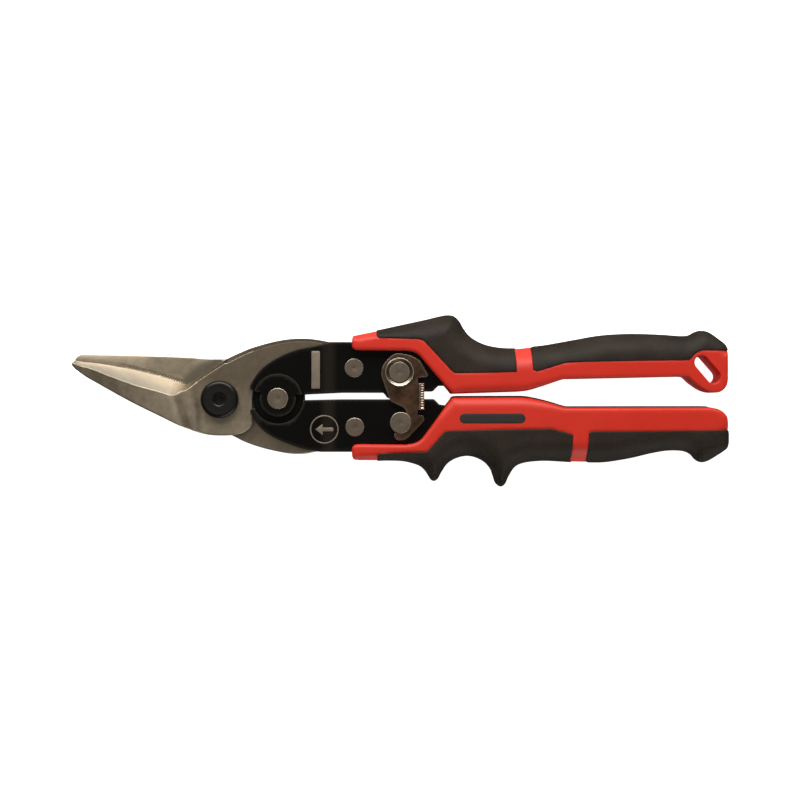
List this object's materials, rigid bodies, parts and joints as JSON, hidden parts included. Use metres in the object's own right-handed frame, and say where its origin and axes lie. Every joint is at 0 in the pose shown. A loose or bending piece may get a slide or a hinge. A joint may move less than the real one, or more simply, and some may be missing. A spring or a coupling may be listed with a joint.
{
  "type": "aviation snips",
  "caption": "Compound-action hand snips for sheet metal, with folded-plate handles, two-part moulded grips, a return spring and a thumb latch, closed and latched.",
  "frame": {"origin": "main pivot axis, in the plane that the snips rest on when they lie on their back", "axes": "+X from the blade tips to the handle ends, +Y from the lower handle to the upper handle, +Z along the pivots and out of the face with the bolt head and latch"},
  "size_m": [0.2492, 0.0644, 0.026],
  "materials": {
    "forged_steel": "satin forged alloy steel, ground on the shear faces",
    "black_steel": "black oxide",
    "black_plate": "smooth black coating on stamped steel",
    "rivet_steel": "satin steel rivet",
    "plated_steel": "bright plated steel",
    "latch_steel": "plated and slightly bronzed sheet steel",
    "spring_steel": "drawn spring wire",
    "red_plastic": "semi-gloss moulded polypropylene",
    "black_grip": "fine-textured soft overmould"
  },
  "bodies": {
    "lower_handle": {"lower_handle_frame": "black_plate", "centre_rivet": "rivet_steel", "spring_sleeve": "plated_steel", "torsion_spring": "spring_steel", "lower_tang_rivet": "rivet_steel", "lower_tang_spacer": "plated_steel", "catch_pin": "rivet_steel", "catch_spacer": "plated_steel", "lower_grip_core": "red_plastic", "lower_grip_front_pad": "black_grip", "lower_grip_rear_pad": "black_grip"},
    "upper_handle": {"upper_handle_frame": "black_plate", "upper_tang_rivet": "rivet_steel", "upper_tang_spacer": "plated_steel", "latch_rivet": "rivet_steel", "latch_washer": "plated_steel", "latch_friction_washer": "plated_steel", "latch_spacer": "plated_steel", "upper_grip_core": "red_plastic", "upper_grip_front_pad": "black_grip", "upper_grip_rear_pad": "black_grip"},
    "back_blade_set": {"back_blade": "forged_steel", "pivot_bolt": "black_steel", "pivot_washer": "plated_steel", "pivot_nut": "black_steel"},
    "front_blade_set": {"front_blade": "forged_steel"},
    "latch": {"latch_plate": "latch_steel"}
  },
  "joints": [
    {"name": "handle_open", "type": "hinge", "parent": "lower_handle", "child": "upper_handle", "pos_m": [0.02223, 0.00029, 0.011], "axis": [0, 0, 1], "range_deg": [0, 36], "deforming": ["torsion_spring"]},
    {"name": "back_blade_swing", "type": "hinge", "parent": "lower_handle", "child": "back_blade_set", "pos_m": [0.05128, -0.01051, 0.011], "axis": [0, 0, 1], "range_deg": [0, 8.3]},
    {"name": "blades_open", "type": "hinge", "parent": "back_blade_set", "child": "front_blade_set", "pos_m": [0, 0, 0.011], "axis": [0, 0, 1], "range_deg": [0, 19.5]},
    {"name": "latch_swing", "type": "hinge", "parent": "upper_handle", "child": "latch", "pos_m": [0.0682, 0.0102, 0.011], "axis": [0, 0, 1], "range_deg": [0, 16.5]}
  ],
  "couplings": [
    {"joint": "back_blade_swing", "follows": "handle_open", "ratio": 0.22982},
    {"joint": "blades_open", "follows": "handle_open", "ratio": 0.54034}
  ]
}
